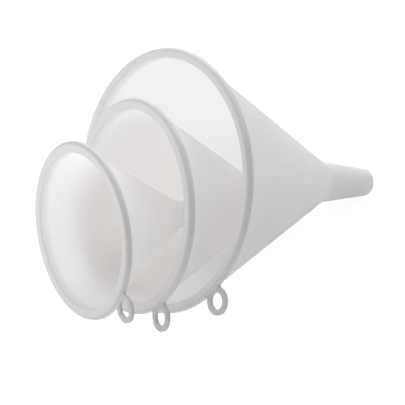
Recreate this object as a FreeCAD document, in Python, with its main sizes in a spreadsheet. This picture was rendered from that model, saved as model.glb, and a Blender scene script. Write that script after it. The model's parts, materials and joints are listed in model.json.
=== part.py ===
import FreeCAD, Part
import math
import os

import Sketcher

# A nest of three plastic pouring funnels that lie on their sides on a table, the medium one in the mouth
# of the large one and the small one in the mouth of the medium one. Each funnel is one moulding: a rolled
# rim, a short collar, a straight cone, a tapered stem and a flat round eyelet to hang it by.
#
# A funnel is drawn standing on its rim: its own Z axis is its axis, from the mouth (Z = 0) to the end of
# the stem, and its own X axis points at the eyelet. Its Placement then lays it down.
# The nest's frame: +Z up, the table at Z = 0, the large funnel's stem pointing along +X, the origin on the
# table under the middle of the nest's box.

NEST = ["large", "medium", "small"]

# What every funnel of the set shares, in millimetres.
SHARED_SIZES = {
    "wall": 1.8,
    "lip_round": 0.8,
    "bead_root_round": 0.5,
    "collar_outer_bend": 2.0,
    "collar_inner_bend": 3.5,
    "neck_outer_bend": 5.0,
    "neck_inner_bend": 6.5,
    "stem_end_round": 0.5,
    "eyelet_radius": 8.0,
    "eyelet_hole_radius": 4.8,
    "eyelet_reach": 6.0,
    "eyelet_thickness": 2.0,
    "eyelet_neck_width": 12.4,
    "eyelet_edge_round": 0.35,
}

# One column for each funnel: large, medium, small. Lengths in millimetres, angles in degrees.
FUNNEL_SIZES = {
    "rim_radius": [75.0, 61.0, 51.0],
    "bead_depth": [5.0, 4.6, 4.2],
    "bead_width": [3.7, 4.8, 4.8],
    "collar_depth": [6.4, 6.0, 5.6],
    "half_angle": [27.3, 29.5, 32.8],
    "neck_radius": [12.4, 9.9, 8.1],
    "stem_length": [38.8, 31.0, 26.4],
    "stem_end_radius": [8.0, 6.4, 5.6],
    # Where the funnel lies: its rim's centre, ahead of the large rim and to the left of it as the large
    # stem points; its heading against the large funnel's; how far its stem dips below the level (0 for the
    # large funnel, whose stem's end lies on the table); how far its bead is off the table (the medium
    # funnel leans on the large rim); and the eyelet's place, from the rim's lowest point to the right.
    "ahead": [0.0, 20.5, 49.7],
    "aside": [0.0, 0.0, 8.3],
    "heading": [0.0, -5.3, -2.4],
    "dip": [0.0, 18.3, 12.5],
    "lift": [0.0, 2.0, 0.0],
    "eyelet_angle": [65.0, 55.0, 72.0],
}

FULL_TURN = 360.0
SMALL_GAP = 1e-4


def cell_name(column, row):
    return "ABCD"[column] + str(row)


def fill_sheet(document):
    """Put every driving size in the sheet, each cell with an alias."""
    sheet = document.addObject("Spreadsheet::Sheet", "Sizes")
    row = 1
    for alias, value in SHARED_SIZES.items():
        sheet.set(cell_name(0, row), str(value))
        sheet.setAlias(cell_name(0, row), alias)
        row += 1
    for alias, values in FUNNEL_SIZES.items():
        for column, value in enumerate(values):
            sheet.set(cell_name(column + 1, row), str(value))
            sheet.setAlias(cell_name(column + 1, row), NEST[column] + "_" + alias)
        row += 1
    return sheet


def read_sizes(sheet, funnel):
    """The sheet's values for one funnel, by name."""
    sizes = {alias: float(sheet.get(alias)) for alias in SHARED_SIZES}
    for alias in FUNNEL_SIZES:
        sizes[alias] = float(sheet.get(funnel + "_" + alias))
    return sizes


def own_plane(body, role):
    for plane in body.Origin.OriginFeatures:
        if plane.Role == role:
            return plane
    raise ValueError("no plane " + role)


def new_sketch(body, name, role):
    sketch = body.newObject("Sketcher::SketchObject", name)
    sketch.AttachmentSupport = [(own_plane(body, role), "")]
    sketch.MapMode = "FlatFace"
    return sketch


def bind(sketch, name, formula, *constraint):
    """Add a dimension to a sketch under a name of its own, driven by the sheet."""
    index = sketch.addConstraint(Sketcher.Constraint(*constraint))
    sketch.renameConstraint(index, name)
    sketch.setExpression("Constraints." + name, formula)


def inner_corner(corner, wall, before, after):
    """A wall's inner corner, under an outer corner (radius, depth) between two slopes from the axis."""
    share = wall / (1.0 + math.cos(after - before))
    return (
        corner[0] - share * (math.cos(before) + math.cos(after)),
        corner[1] - share * (math.sin(before) + math.sin(after)),
    )


def section_corners(sizes):
    """Where the wall section's corners lie, as (radius, depth), from the lip round to the inner collar."""
    wall = sizes["wall"]
    slope = math.radians(sizes["half_angle"])
    bead_round = sizes["bead_depth"] / 2.0
    bead_centre = sizes["rim_radius"] - bead_round
    collar = (sizes["rim_radius"] - sizes["bead_width"], sizes["collar_depth"])
    neck_depth = collar[1] + (collar[0] - sizes["neck_radius"]) / math.tan(slope)
    neck = (sizes["neck_radius"], neck_depth)
    end = (sizes["stem_end_radius"], neck_depth + sizes["stem_length"])
    taper = math.atan((neck[0] - end[0]) / sizes["stem_length"])
    return {
        "lip": (collar[0] - wall, 0.0),
        "bead_front": (bead_centre, 0.0),
        "bead_back": (bead_centre, sizes["bead_depth"]),
        "bead_root": (collar[0], sizes["bead_depth"]),
        "collar": collar,
        "neck": neck,
        "end": end,
        "bore_end": (end[0] - wall / math.cos(taper), end[1]),
        "bore_neck": inner_corner(neck, wall, slope, taper),
        "inner_collar": inner_corner(collar, wall, 0.0, slope),
    }


def draw_wall_section(sketch, sizes, funnel):
    """Half of the funnel's section: sketch x is the radius, sketch y the depth behind the mouth."""
    corner = {name: FreeCAD.Vector(x, y, 0) for name, (x, y) in section_corners(sizes).items()}
    bead_round = sizes["bead_depth"] / 2.0
    out_of_plane = FreeCAD.Vector(0, 0, 1)
    bead_middle = corner["bead_front"] + FreeCAD.Vector(0, bead_round, 0)
    bead_circle = Part.Circle(bead_middle, out_of_plane, bead_round)
    edges = [
        ("lip_face", Part.LineSegment(corner["lip"], corner["bead_front"])),
        ("bead", Part.ArcOfCircle(bead_circle, -math.pi / 2, math.pi / 2)),
        ("bead_underside", Part.LineSegment(corner["bead_back"], corner["bead_root"])),
        ("collar", Part.LineSegment(corner["bead_root"], corner["collar"])),
        ("cone", Part.LineSegment(corner["collar"], corner["neck"])),
        ("stem", Part.LineSegment(corner["neck"], corner["end"])),
        ("end_face", Part.LineSegment(corner["end"], corner["bore_end"])),
        ("bore", Part.LineSegment(corner["bore_end"], corner["bore_neck"])),
        ("inner_cone", Part.LineSegment(corner["bore_neck"], corner["inner_collar"])),
        ("inner_collar", Part.LineSegment(corner["inner_collar"], corner["lip"])),
    ]
    edge = {name: sketch.addGeometry(curve, False) for name, curve in edges}
    start, end, centre = 1, 2, 3
    origin = (-1, 1)
    horizontal_axis = -1

    names = [name for name, curve in edges]
    for name, following in zip(names, names[1:] + names[:1]):
        kind = "Tangent" if "bead" in (name, following) else "Coincident"
        sketch.addConstraint(Sketcher.Constraint(kind, edge[name], end, edge[following], start))
    for name in ("lip_face", "bead_underside", "end_face"):
        sketch.addConstraint(Sketcher.Constraint("Horizontal", edge[name]))
    for name in ("collar", "inner_collar"):
        sketch.addConstraint(Sketcher.Constraint("Vertical", edge[name]))
    for name, outer in (("bore", "stem"), ("inner_cone", "cone")):
        sketch.addConstraint(Sketcher.Constraint("Parallel", edge[name], edge[outer]))
    sketch.addConstraint(Sketcher.Constraint("PointOnObject", edge["lip_face"], start, horizontal_axis))

    own = "Sizes." + funnel + "_"
    bead_centre = sizes["rim_radius"] - bead_round
    collar_radius = sizes["rim_radius"] - sizes["bead_width"]
    cone_direction = math.radians(90.0 + sizes["half_angle"])
    wall = sizes["wall"]
    bind(sketch, "bead_round", own + "bead_depth / 2", "Radius", edge["bead"], bead_round)
    bind(sketch, "bead_centre", own + "rim_radius - " + own + "bead_depth / 2",
         "DistanceX", *origin, edge["bead"], centre, bead_centre)
    bind(sketch, "collar_radius", own + "rim_radius - " + own + "bead_width",
         "DistanceX", *origin, edge["collar"], start, collar_radius)
    bind(sketch, "collar_depth", own + "collar_depth",
         "DistanceY", *origin, edge["collar"], end, sizes["collar_depth"])
    bind(sketch, "cone_direction", "90 deg + " + own + "half_angle * 1 deg",
         "Angle", edge["cone"], cone_direction)
    bind(sketch, "neck_radius", own + "neck_radius",
         "DistanceX", *origin, edge["cone"], end, sizes["neck_radius"])
    bind(sketch, "stem_length", own + "stem_length",
         "DistanceY", edge["stem"], start, edge["stem"], end, sizes["stem_length"])
    bind(sketch, "stem_end_radius", own + "stem_end_radius",
         "DistanceX", *origin, edge["stem"], end, sizes["stem_end_radius"])
    bind(sketch, "collar_wall", "Sizes.wall",
         "DistanceX", edge["inner_collar"], start, edge["collar"], start, wall)
    bind(sketch, "cone_wall", "Sizes.wall", "Distance", edge["inner_cone"], end, edge["cone"], wall)
    bind(sketch, "stem_wall", "Sizes.wall", "Distance", edge["bore"], start, edge["stem"], wall)


def circles_at(feature, corners):
    """The names of a feature's circular edges that run round its axis through the given corners."""
    found = []
    for index, edge in enumerate(feature.Shape.Edges, start=1):
        if not isinstance(edge.Curve, Part.Circle):
            continue
        centre = edge.Curve.Center
        on_axis = math.hypot(centre.x, centre.y) < SMALL_GAP
        for radius, depth in corners:
            at_corner = abs(edge.Curve.Radius - radius) < SMALL_GAP and abs(centre.z - depth) < SMALL_GAP
            if on_axis and at_corner:
                found.append("Edge" + str(index))
    if len(found) != len(corners):
        raise ValueError("the fillet found " + str(len(found)) + " of " + str(len(corners)) + " edges")
    return found


def round_edges(document, body, name, base, edge_names, size_name):
    fillet = body.newObject("PartDesign::Fillet", name)
    fillet.Base = (base, edge_names)
    fillet.setExpression("Radius", "Sizes." + size_name)
    document.recompute()
    return fillet


def draw_eyelet(sketch, sizes, funnel):
    """A ring beside the rim and the straight-sided neck that joins it to the middle of the bead."""
    reach = sizes["rim_radius"] + sizes["eyelet_reach"]
    radius = sizes["eyelet_radius"]
    half_neck = sizes["eyelet_neck_width"] / 2.0
    root = sizes["rim_radius"] - sizes["bead_depth"] / 2.0
    up = FreeCAD.Vector(0, 0, 1)
    middle = FreeCAD.Vector(reach, 0, 0)
    neck_turn = math.pi - math.asin(half_neck / radius)
    shoulder = reach + radius * math.cos(neck_turn)
    corners = [
        FreeCAD.Vector(shoulder, half_neck, 0),
        FreeCAD.Vector(root, half_neck, 0),
        FreeCAD.Vector(root, -half_neck, 0),
        FreeCAD.Vector(shoulder, -half_neck, 0),
    ]
    outer_circle = Part.Circle(middle, up, radius)
    ring = sketch.addGeometry(Part.ArcOfCircle(outer_circle, -neck_turn, neck_turn), False)
    side = sketch.addGeometry(Part.LineSegment(corners[0], corners[1]), False)
    foot = sketch.addGeometry(Part.LineSegment(corners[1], corners[2]), False)
    other_side = sketch.addGeometry(Part.LineSegment(corners[2], corners[3]), False)
    hole = sketch.addGeometry(Part.Circle(middle, up, sizes["eyelet_hole_radius"]), False)
    start, end, centre = 1, 2, 3
    origin = (-1, 1)
    horizontal_axis = -1

    for first, following in ((ring, side), (side, foot), (foot, other_side), (other_side, ring)):
        sketch.addConstraint(Sketcher.Constraint("Coincident", first, end, following, start))
    sketch.addConstraint(Sketcher.Constraint("Horizontal", side))
    sketch.addConstraint(Sketcher.Constraint("Horizontal", other_side))
    sketch.addConstraint(Sketcher.Constraint("Symmetric", foot, start, foot, end, horizontal_axis))
    sketch.addConstraint(Sketcher.Constraint("PointOnObject", ring, centre, horizontal_axis))
    sketch.addConstraint(Sketcher.Constraint("Coincident", hole, centre, ring, centre))
    own = "Sizes." + funnel + "_"
    bind(sketch, "reach", own + "rim_radius + Sizes.eyelet_reach",
         "DistanceX", *origin, ring, centre, reach)
    bind(sketch, "outer_radius", "Sizes.eyelet_radius", "Radius", ring, radius)
    bind(sketch, "hole_radius", "Sizes.eyelet_hole_radius", "Radius", hole, sizes["eyelet_hole_radius"])
    bind(sketch, "neck_width", "Sizes.eyelet_neck_width",
         "DistanceY", foot, end, foot, start, 2.0 * half_neck)
    bind(sketch, "root", own + "rim_radius - " + own + "bead_depth / 2",
         "DistanceX", *origin, foot, start, root)


def eyelet_rims(feature, sizes):
    """The names of the edges round the ring and its hole, on both faces of the eyelet."""
    found = []
    reach = sizes["rim_radius"] + sizes["eyelet_reach"]
    radii = [sizes["eyelet_radius"], sizes["eyelet_hole_radius"]]
    for index, edge in enumerate(feature.Shape.Edges, start=1):
        if not isinstance(edge.Curve, Part.Circle):
            continue
        around_eyelet = abs(edge.Curve.Center.x - reach) < SMALL_GAP
        off_by = min(abs(edge.Curve.Radius - radius) for radius in radii)
        if around_eyelet and off_by < SMALL_GAP:
            found.append("Edge" + str(index))
    return found


def make_funnel(document, sheet, funnel):
    """One moulded funnel, standing on its rim."""
    sizes = read_sizes(sheet, funnel)
    corners = section_corners(sizes)
    body = document.addObject("PartDesign::Body", funnel + "_funnel")
    body.Label = funnel + "_funnel"

    section = new_sketch(body, funnel + "_wall_section", "XZ_Plane")
    draw_wall_section(section, sizes, funnel)
    shell = body.newObject("PartDesign::Revolution", funnel + "_shell")
    shell.Profile = section
    shell.ReferenceAxis = (section, ["V_Axis"])
    shell.Angle = FULL_TURN
    document.recompute()

    bends = [
        ("lip", "lip_round"),
        ("bead_root", "bead_root_round"),
        ("collar", "collar_outer_bend"),
        ("inner_collar", "collar_inner_bend"),
        ("neck", "neck_outer_bend"),
        ("bore_neck", "neck_inner_bend"),
        ("end", "stem_end_round"),
        ("bore_end", "stem_end_round"),
    ]
    feature = shell
    for corner, size_name in bends:
        edge_names = circles_at(feature, [corners[corner]])
        name = funnel + "_" + corner + "_bend"
        feature = round_edges(document, body, name, feature, edge_names, size_name)

    outline = new_sketch(body, funnel + "_eyelet_outline", "XY_Plane")
    outline.setExpression("AttachmentOffset.Base.z",
                          "Sizes." + funnel + "_bead_depth / 2 - Sizes.eyelet_thickness / 2")
    draw_eyelet(outline, sizes, funnel)
    eyelet = body.newObject("PartDesign::Pad", funnel + "_eyelet")
    eyelet.Profile = outline
    eyelet.setExpression("Length", "Sizes.eyelet_thickness")
    document.recompute()
    rims = eyelet_rims(eyelet, sizes)
    round_edges(document, body, funnel + "_eyelet_rounding", eyelet, rims, "eyelet_edge_round")
    return body


def lying_dip(sizes):
    """How far the axis dips, in radians, when the bead and the stem's end both touch the table."""
    end = section_corners(sizes)["end"]
    bead_round = sizes["bead_depth"] / 2.0
    along = end[1] - bead_round
    across = sizes["rim_radius"] - bead_round - end[0]
    return math.atan2(across, along) + math.asin(bead_round / math.hypot(along, across))


def lay_down(sizes, dip):
    """The placement of a funnel on its side, its bead on or above the table and its axis dipping."""
    heading = math.radians(sizes["heading"])
    round_rim = math.radians(sizes["eyelet_angle"])
    bead_round = sizes["bead_depth"] / 2.0
    ahead = FreeCAD.Vector(math.cos(heading), math.sin(heading), 0)
    left = FreeCAD.Vector(-math.sin(heading), math.cos(heading), 0)
    axis = ahead * math.cos(dip) - FreeCAD.Vector(0, 0, math.sin(dip))
    upwards = axis.cross(left)
    to_eyelet = left * -math.sin(round_rim) - upwards * math.cos(round_rim)
    bead_centre = sizes["rim_radius"] - bead_round
    rim_height = bead_centre * math.cos(dip) + bead_round * math.sin(dip) + bead_round
    rim_centre = FreeCAD.Vector(-sizes["ahead"], sizes["aside"], rim_height + sizes["lift"])
    turn = FreeCAD.Rotation(to_eyelet, axis.cross(to_eyelet), axis, "ZXY")
    return FreeCAD.Placement(rim_centre, turn)


def nest_box(bodies):
    box = FreeCAD.BoundBox()
    for body in bodies:
        box.add(body.Shape.optimalBoundingBox(False, False))
    return box


def check(document, bodies):
    for item in document.Objects:
        if "Invalid" in item.State or "Error" in item.State:
            raise ValueError(item.Name + " failed")
    for body in bodies:
        shape = body.Shape
        if shape.isNull() or not shape.isValid() or len(shape.Solids) != 1:
            raise ValueError(body.Label + " is not one valid solid")


def main():
    document = FreeCAD.newDocument("funnel_nest")
    sheet = fill_sheet(document)
    document.recompute()

    bodies = []
    for funnel in NEST:
        body = make_funnel(document, sheet, funnel)
        sizes = read_sizes(sheet, funnel)
        dip = math.radians(sizes["dip"]) if sizes["dip"] else lying_dip(sizes)
        body.Placement = lay_down(sizes, dip)
        bodies.append(body)
        print(body.Label, "dips", round(math.degrees(dip), 2), "degrees")
    document.recompute()

    box = nest_box(bodies)
    to_origin = FreeCAD.Vector(-box.Center.x, -box.Center.y, 0)
    for body in bodies:
        body.Placement = FreeCAD.Placement(to_origin, FreeCAD.Rotation()) * body.Placement
    document.recompute()
    check(document, bodies)

    os.makedirs("parts", exist_ok=True)
    for body in bodies:
        body.Shape.exportStep("parts/" + body.Label + ".step")
    box = nest_box(bodies)
    size = [round(length, 2) for length in (box.XLength, box.YLength, box.ZLength)]
    print("size", size, "lowest", round(box.ZMin, 4))


main()
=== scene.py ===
import json
import math

import bpy
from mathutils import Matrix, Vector


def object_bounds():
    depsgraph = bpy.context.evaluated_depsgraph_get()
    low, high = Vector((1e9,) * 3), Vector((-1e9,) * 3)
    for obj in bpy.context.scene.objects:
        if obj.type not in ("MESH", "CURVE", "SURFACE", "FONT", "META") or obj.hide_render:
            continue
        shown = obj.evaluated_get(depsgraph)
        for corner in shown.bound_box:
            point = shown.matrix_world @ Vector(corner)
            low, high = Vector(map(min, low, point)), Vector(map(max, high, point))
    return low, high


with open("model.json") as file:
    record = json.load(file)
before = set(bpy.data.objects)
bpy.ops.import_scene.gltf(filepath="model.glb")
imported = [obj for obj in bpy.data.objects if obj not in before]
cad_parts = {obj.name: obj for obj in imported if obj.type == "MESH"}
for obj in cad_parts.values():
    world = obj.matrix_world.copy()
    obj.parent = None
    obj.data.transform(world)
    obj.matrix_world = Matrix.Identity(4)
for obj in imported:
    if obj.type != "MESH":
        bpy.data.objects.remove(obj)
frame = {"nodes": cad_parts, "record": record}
cad_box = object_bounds()

FUNNELS = ["large", "medium", "small"]

# The camera, from the middle of the nest's box: it looks along this azimuth (0 is along +Y) and down by
# this elevation, and aims a little to the left of the middle and below it, as the object sits off centre.
CAMERA_AZIMUTH = math.radians(-33.9)
CAMERA_ELEVATION = math.radians(37.5)
CAMERA_DISTANCE = 1.4289
CAMERA_LENS = 222.2
AIM_LEFT = 0.0153
AIM_DOWN = 0.0250

# The soft boxes: name, heading from the camera's own (0 is behind the camera, 90 its right), elevation,
# watts. Each is a square of this side at this distance from the nest.
BOX_SIDE = 1.2
BOX_DISTANCE = 1.6
SOFT_BOXES = [
    ("left_box", -90, 30, 5.0),
    ("back_box", 180, 35, 11.0),
    ("right_box", 120, 60, 6.5),
    ("top_box", 0, 90, 1.5),
]
# The room: the light it gives, and how bright it looks to the camera.
ROOM_LIGHT = 0.325
ROOM_SEEN = 1.05

# The floor is pale paper, lit from below as on a product table: brightly toward GLOW_HEADING, under the
# mouths, and faintly on the other side, fading between them over twice GLOW_FADE about the middle. To the
# camera alone, this share of it is a plain white glow, so that it runs into the backdrop and its shadows fade.
FLOOR_HALF_SIDE = 8.0
FLOOR_TONE = 0.7
GLOW_BRIGHT = 0.42
GLOW_FAINT = 0.08
GLOW_HEADING = -70
GLOW_FADE = 0.06
FLOOR_SEEN_SHARE = 0.75
FLOOR_SEEN_GLOW = 1.17

# The plastic by zone: how much of the light it passes, seen from inside the funnel, from outside and so on, and
# how light it is. The lip is the ring's flat face and the bead its rolled outer edge. It is all one plastic:
# the lip's slightly lower tone and the darker bead and eyelet are painted shade, the bead's and eyelet's
# standing for the dimmer light through their thickness.
THROUGH_INSIDE = 0.75
THROUGH_OUTSIDE = 0.5
THROUGH_LIP = 0.35
THROUGH_BEAD = 0.03
THROUGH_STEM = 0.25
WALL_TONE = 0.99
LIP_SHADED_TONE = 0.96
BEAD_SHADED_TONE = 0.79
EYELET_SHADED_TONE = 0.72
GREEN_SHARE = 0.994
BLUE_SHARE = 0.991

# How far the eyelet's middle is beyond the rim, and where the zones change, in metres: by depth behind the
# mouth for the lip, by distance inside the rim for the bead, about the neck, and before the stem's end.
EYELET_REACH = 0.006
LIP_ENDS = (0.0004, 0.0012)
BEAD_STARTS = (0.0024, 0.0012)
EYELET_BLEND = 0.001
NECK_BLEND = 0.002
WORN_END = (0.004, 0.001)

# The plastic's variation: clouds that darken it, patches of wear that darken and roughen it.
CLOUD_STRETCH = Vector((1.0, 2.2, 2.2))
CLOUD_DARKENS = 0.012
WEAR_DARKENS = 0.05
WEAR_ROUGHENS = 0.18
ROUGHNESS = (0.31, 0.43)

SCENE = bpy.context.scene


def heading_vector(heading, elevation):
    """A direction by its heading from the camera's side of the object and its elevation, in radians."""
    around = CAMERA_AZIMUTH + heading
    return Vector((
        math.sin(around) * math.cos(elevation),
        -math.cos(around) * math.cos(elevation),
        math.sin(elevation),
    ))


def make_camera():
    low, high = cad_box
    middle = (low + high) / 2
    back = heading_vector(0.0, CAMERA_ELEVATION)
    right = Vector((0, 0, 1)).cross(back).normalized()
    up = back.cross(right)
    aim = middle - right * AIM_LEFT - up * AIM_DOWN
    data = bpy.data.cameras.new("camera")
    data.lens = CAMERA_LENS
    data.sensor_width = 36.0
    data.clip_start = 0.05
    data.clip_end = 50.0
    camera = bpy.data.objects.new("camera", data)
    camera.location = aim + back * CAMERA_DISTANCE
    camera.rotation_mode = "QUATERNION"
    camera.rotation_quaternion = (-back).to_track_quat("-Z", "Y")
    SCENE.collection.objects.link(camera)
    SCENE.camera = camera


def funnel_frame(funnel):
    """A funnel's rim centre, axis, length, stem length and rim radius, in metres, from the record's mounts."""
    mounts = {mount["name"]: mount for mount in frame["record"]["mounts"]}
    stem = mounts[funnel + "_stem"]
    axis = Vector(stem["axis"]).normalized()
    stem_end = Vector(stem["pos_m"])
    length = (stem_end - Vector(mounts[funnel + "_mouth_face"]["pos_m"])).dot(axis)
    base = stem_end - axis * length
    to_eyelet = Vector(mounts[funnel + "_eyelet"]["pos_m"]) - base
    rim = (to_eyelet - axis * to_eyelet.dot(axis)).length - EYELET_REACH
    return base, axis, length, stem["dims"]["length_mm"] / 1000, rim


class Nodes:
    """A node tree with short ways to add a node and to join two sockets."""

    def __init__(self, tree):
        self.tree = tree
        tree.nodes.clear()

    def add(self, kind, values=None, **settings):
        node = self.tree.nodes.new(kind)
        for name, value in settings.items():
            setattr(node, name, value)
        for name, value in (values or {}).items():
            node.inputs[name].default_value = value
        return node

    def join(self, source, target):
        self.tree.links.new(source, target)

    def put(self, value, target):
        """Join value to target if it is a socket, or set it there."""
        if isinstance(value, bpy.types.NodeSocket):
            self.join(value, target)
        else:
            target.default_value = value

    def math(self, operation, *values):
        node = self.add("ShaderNodeMath", operation=operation)
        for index, value in enumerate(values):
            self.put(value, node.inputs[index])
        return node.outputs[0]

    def vector(self, operation, first, second):
        node = self.add("ShaderNodeVectorMath", operation=operation)
        self.put(first, node.inputs[0])
        self.put(second, node.inputs[1])
        return node.outputs["Value" if operation == "DOT_PRODUCT" else "Vector"]

    def scaled(self, direction, amount):
        node = self.add("ShaderNodeVectorMath", {0: direction}, operation="SCALE")
        self.join(amount, node.inputs["Scale"])
        return node.outputs["Vector"]

    def blend(self, share, first, second):
        """first where share is 0, second where it is 1."""
        node = self.add("ShaderNodeMix", data_type="FLOAT")
        for value, target in ((share, 0), (first, 2), (second, 3)):
            self.put(value, node.inputs[target])
        return node.outputs[0]

    def mixed(self, share, first, second, output):
        """Mix two shaders into the output node's surface."""
        mix = self.add("ShaderNodeMixShader")
        for value, target in ((share, 0), (first.outputs[0], 1), (second.outputs[0], 2)):
            self.put(value, mix.inputs[target])
        self.join(mix.outputs[0], self.add(output).inputs["Surface"])

    def noise(self, place, scale, detail):
        node = self.add("ShaderNodeTexNoise", {"Scale": scale, "Detail": detail})
        self.join(place, node.inputs["Vector"])
        return node.outputs[0]

    def ramp(self, value, low, high, at_low, at_high):
        """A smooth step: at_low below low, at_high above high."""
        node = self.add("ShaderNodeMapRange", interpolation_type="SMOOTHSTEP")
        self.join(value, node.inputs["Value"])
        limits = {"From Min": low, "From Max": high, "To Min": at_low, "To Max": at_high}
        for name, number in limits.items():
            node.inputs[name].default_value = number
        return node.outputs["Result"]


def make_plastic(funnel):
    base, axis, length, stem_length, rim = funnel_frame(funnel)
    material = bpy.data.materials.new(funnel + "_plastic")
    material.use_nodes = True
    nodes = Nodes(material.node_tree)

    place = nodes.add("ShaderNodeTexCoord").outputs["Object"]
    from_mouth = nodes.vector("SUBTRACT", place, base)
    depth = nodes.vector("DOT_PRODUCT", from_mouth, axis)
    squared = nodes.vector("DOT_PRODUCT", from_mouth, from_mouth)
    radius = nodes.math("SQRT", nodes.math("SUBTRACT", squared, nodes.math("MULTIPLY", depth, depth)))
    neck = length - stem_length
    on_lip = nodes.ramp(depth, LIP_ENDS[0], LIP_ENDS[1], 1.0, 0.0)
    on_bead = nodes.ramp(radius, rim - BEAD_STARTS[0], rim - BEAD_STARTS[1], 0.0, 1.0)
    on_eyelet = nodes.ramp(radius, rim, rim + EYELET_BLEND, 0.0, 1.0)
    on_stem = nodes.ramp(depth, neck - NECK_BLEND, neck + NECK_BLEND, 0.0, 1.0)
    # the outside of the wall is where its surface faces away from the funnel's axis
    outward = nodes.vector("SUBTRACT", from_mouth, nodes.scaled(axis, depth))
    facing = nodes.vector("DOT_PRODUCT", nodes.add("ShaderNodeNewGeometry").outputs["Normal"], outward)
    on_outside = nodes.ramp(facing, -0.0005, 0.0005, 0.0, 1.0)
    through = nodes.blend(on_outside, THROUGH_INSIDE, THROUGH_OUTSIDE)
    through = nodes.blend(on_lip, through, THROUGH_LIP)
    through = nodes.blend(on_bead, through, THROUGH_BEAD)
    through = nodes.blend(on_stem, through, THROUGH_STEM)
    # light that is inside the wall always comes out on the far side
    inside = nodes.add("ShaderNodeNewGeometry").outputs["Backfacing"]
    through = nodes.math("MAXIMUM", through, inside)

    # faint clouds in the plastic, stretched along X, which is close to every funnel's axis
    clouds = nodes.noise(nodes.vector("MULTIPLY", from_mouth, CLOUD_STRETCH), 22.0, 4.0)
    # scuffs: worn patches on the bead's outside and at the stem's end, broken up by a fine noise
    scuffs = nodes.ramp(nodes.noise(from_mouth, 190.0, 5.0), 0.54, 0.68, 0.0, 1.0)
    at_end = nodes.ramp(depth, length - WORN_END[0], length - WORN_END[1], 0.0, 1.0)
    worn = nodes.math("MULTIPLY", scuffs, nodes.math("MAXIMUM", on_bead, at_end))

    # painted shade: the lip, the bead and the eyelet are made darker than the wall, though they are one plastic
    tone = nodes.blend(on_lip, WALL_TONE, LIP_SHADED_TONE)
    tone = nodes.blend(on_bead, tone, BEAD_SHADED_TONE)
    tone = nodes.blend(on_eyelet, tone, EYELET_SHADED_TONE)
    tone = nodes.math("ADD", tone, nodes.ramp(clouds, 0.35, 0.65, -CLOUD_DARKENS, 0.0))
    tone = nodes.math("SUBTRACT", tone, nodes.math("MULTIPLY", worn, WEAR_DARKENS))
    colour = nodes.add("ShaderNodeCombineColor")
    nodes.join(tone, colour.inputs["Red"])
    nodes.join(nodes.math("MULTIPLY", tone, GREEN_SHARE), colour.inputs["Green"])
    nodes.join(nodes.math("MULTIPLY", tone, BLUE_SHARE), colour.inputs["Blue"])

    roughness = nodes.ramp(nodes.noise(from_mouth, 60.0, 4.0), 0.3, 0.7, ROUGHNESS[0], ROUGHNESS[1])
    roughness = nodes.math("ADD", roughness, nodes.math("MULTIPLY", worn, WEAR_ROUGHENS))

    # the mould's fine grain, with the faint turning marks that ring its cone
    turned = nodes.add("ShaderNodeTexNoise", {"Scale": 900.0, "Detail": 2.0}, noise_dimensions="1D")
    nodes.join(depth, turned.inputs["W"])
    grain = nodes.add("ShaderNodeBump", {"Strength": 0.22, "Distance": 0.00012})
    nodes.join(nodes.noise(from_mouth, 620.0, 3.0), grain.inputs["Height"])
    rings = nodes.add("ShaderNodeBump", {"Strength": 0.16, "Distance": 0.00015})
    nodes.join(turned.outputs[0], rings.inputs["Height"])
    nodes.join(grain.outputs[0], rings.inputs["Normal"])

    shader = nodes.add("ShaderNodeBsdfPrincipled", {"IOR": 1.49})
    nodes.join(roughness, shader.inputs["Roughness"])
    nodes.join(rings.outputs[0], shader.inputs["Normal"])
    behind = nodes.add("ShaderNodeBsdfTranslucent")
    nodes.join(colour.outputs[0], shader.inputs["Base Color"])
    nodes.join(colour.outputs[0], behind.inputs["Color"])
    nodes.mixed(through, shader, behind, "ShaderNodeOutputMaterial")
    return material


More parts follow.
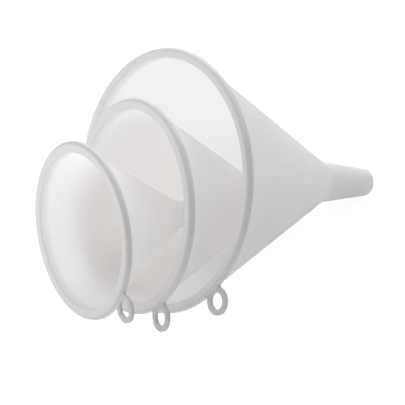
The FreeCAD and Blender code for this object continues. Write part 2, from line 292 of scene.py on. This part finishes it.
def make_floor():
    size = FLOOR_HALF_SIDE
    mesh = bpy.data.meshes.new("floor")
    corners = [(-size, -size, 0), (size, -size, 0), (size, size, 0), (-size, size, 0)]
    mesh.from_pydata(corners, [], [(0, 1, 2, 3)])
    floor = bpy.data.objects.new("floor", mesh)
    SCENE.collection.objects.link(floor)

    material = bpy.data.materials.new("floor_paper")
    material.use_nodes = True
    nodes = Nodes(material.node_tree)
    paper = nodes.add("ShaderNodeBsdfDiffuse", {"Color": (FLOOR_TONE, FLOOR_TONE, FLOOR_TONE, 1.0)})
    lit_from_below = nodes.add("ShaderNodeEmission", {"Color": (1.0, 1.0, 1.0, 1.0)})
    place = nodes.add("ShaderNodeTexCoord").outputs["Object"]
    across = nodes.vector("DOT_PRODUCT", place, heading_vector(math.radians(GLOW_HEADING), 0.0))
    glow_here = nodes.ramp(across, -GLOW_FADE, GLOW_FADE, GLOW_FAINT, GLOW_BRIGHT)
    nodes.join(glow_here, lit_from_below.inputs["Strength"])
    sheet = nodes.add("ShaderNodeAddShader")
    nodes.join(paper.outputs[0], sheet.inputs[0])
    nodes.join(lit_from_below.outputs[0], sheet.inputs[1])
    glow = nodes.add("ShaderNodeEmission", {"Color": (1.0, 1.0, 1.0, 1.0), "Strength": FLOOR_SEEN_GLOW})
    path = nodes.add("ShaderNodeLightPath")
    share = nodes.math("MULTIPLY", path.outputs["Is Camera Ray"], FLOOR_SEEN_SHARE)
    nodes.mixed(share, sheet, glow, "ShaderNodeOutputMaterial")
    mesh.materials.append(material)


def make_world():
    world = bpy.data.worlds.new("studio")
    world.use_nodes = True
    nodes = Nodes(world.node_tree)
    room = nodes.add("ShaderNodeBackground", {"Color": (1.0, 1.0, 1.0, 1.0), "Strength": ROOM_LIGHT})
    seen = nodes.add("ShaderNodeBackground", {"Color": (1.0, 1.0, 1.0, 1.0), "Strength": ROOM_SEEN})
    path = nodes.add("ShaderNodeLightPath")
    nodes.mixed(path.outputs["Is Camera Ray"], room, seen, "ShaderNodeOutputWorld")
    SCENE.world = world


def make_light(name, heading, elevation, watts):
    low, high = cad_box
    middle = (low + high) / 2
    out = heading_vector(math.radians(heading), math.radians(elevation))
    data = bpy.data.lights.new(name, "AREA")
    data.shape = "SQUARE"
    data.size = BOX_SIDE
    data.energy = watts
    light = bpy.data.objects.new(name, data)
    light.location = middle + out * BOX_DISTANCE
    light.rotation_mode = "QUATERNION"
    light.rotation_quaternion = (-out).to_track_quat("-Z", "Y")
    SCENE.collection.objects.link(light)


make_camera()
make_world()
make_floor()
for funnel in FUNNELS:
    node = frame["nodes"][funnel + "_funnel"]
    node.data.materials.clear()
    node.data.materials.append(make_plastic(funnel))
for name, heading, elevation, watts in SOFT_BOXES:
    make_light(name, heading, elevation, watts)

SCENE.view_settings.view_transform = "Standard"
SCENE.view_settings.look = "None"
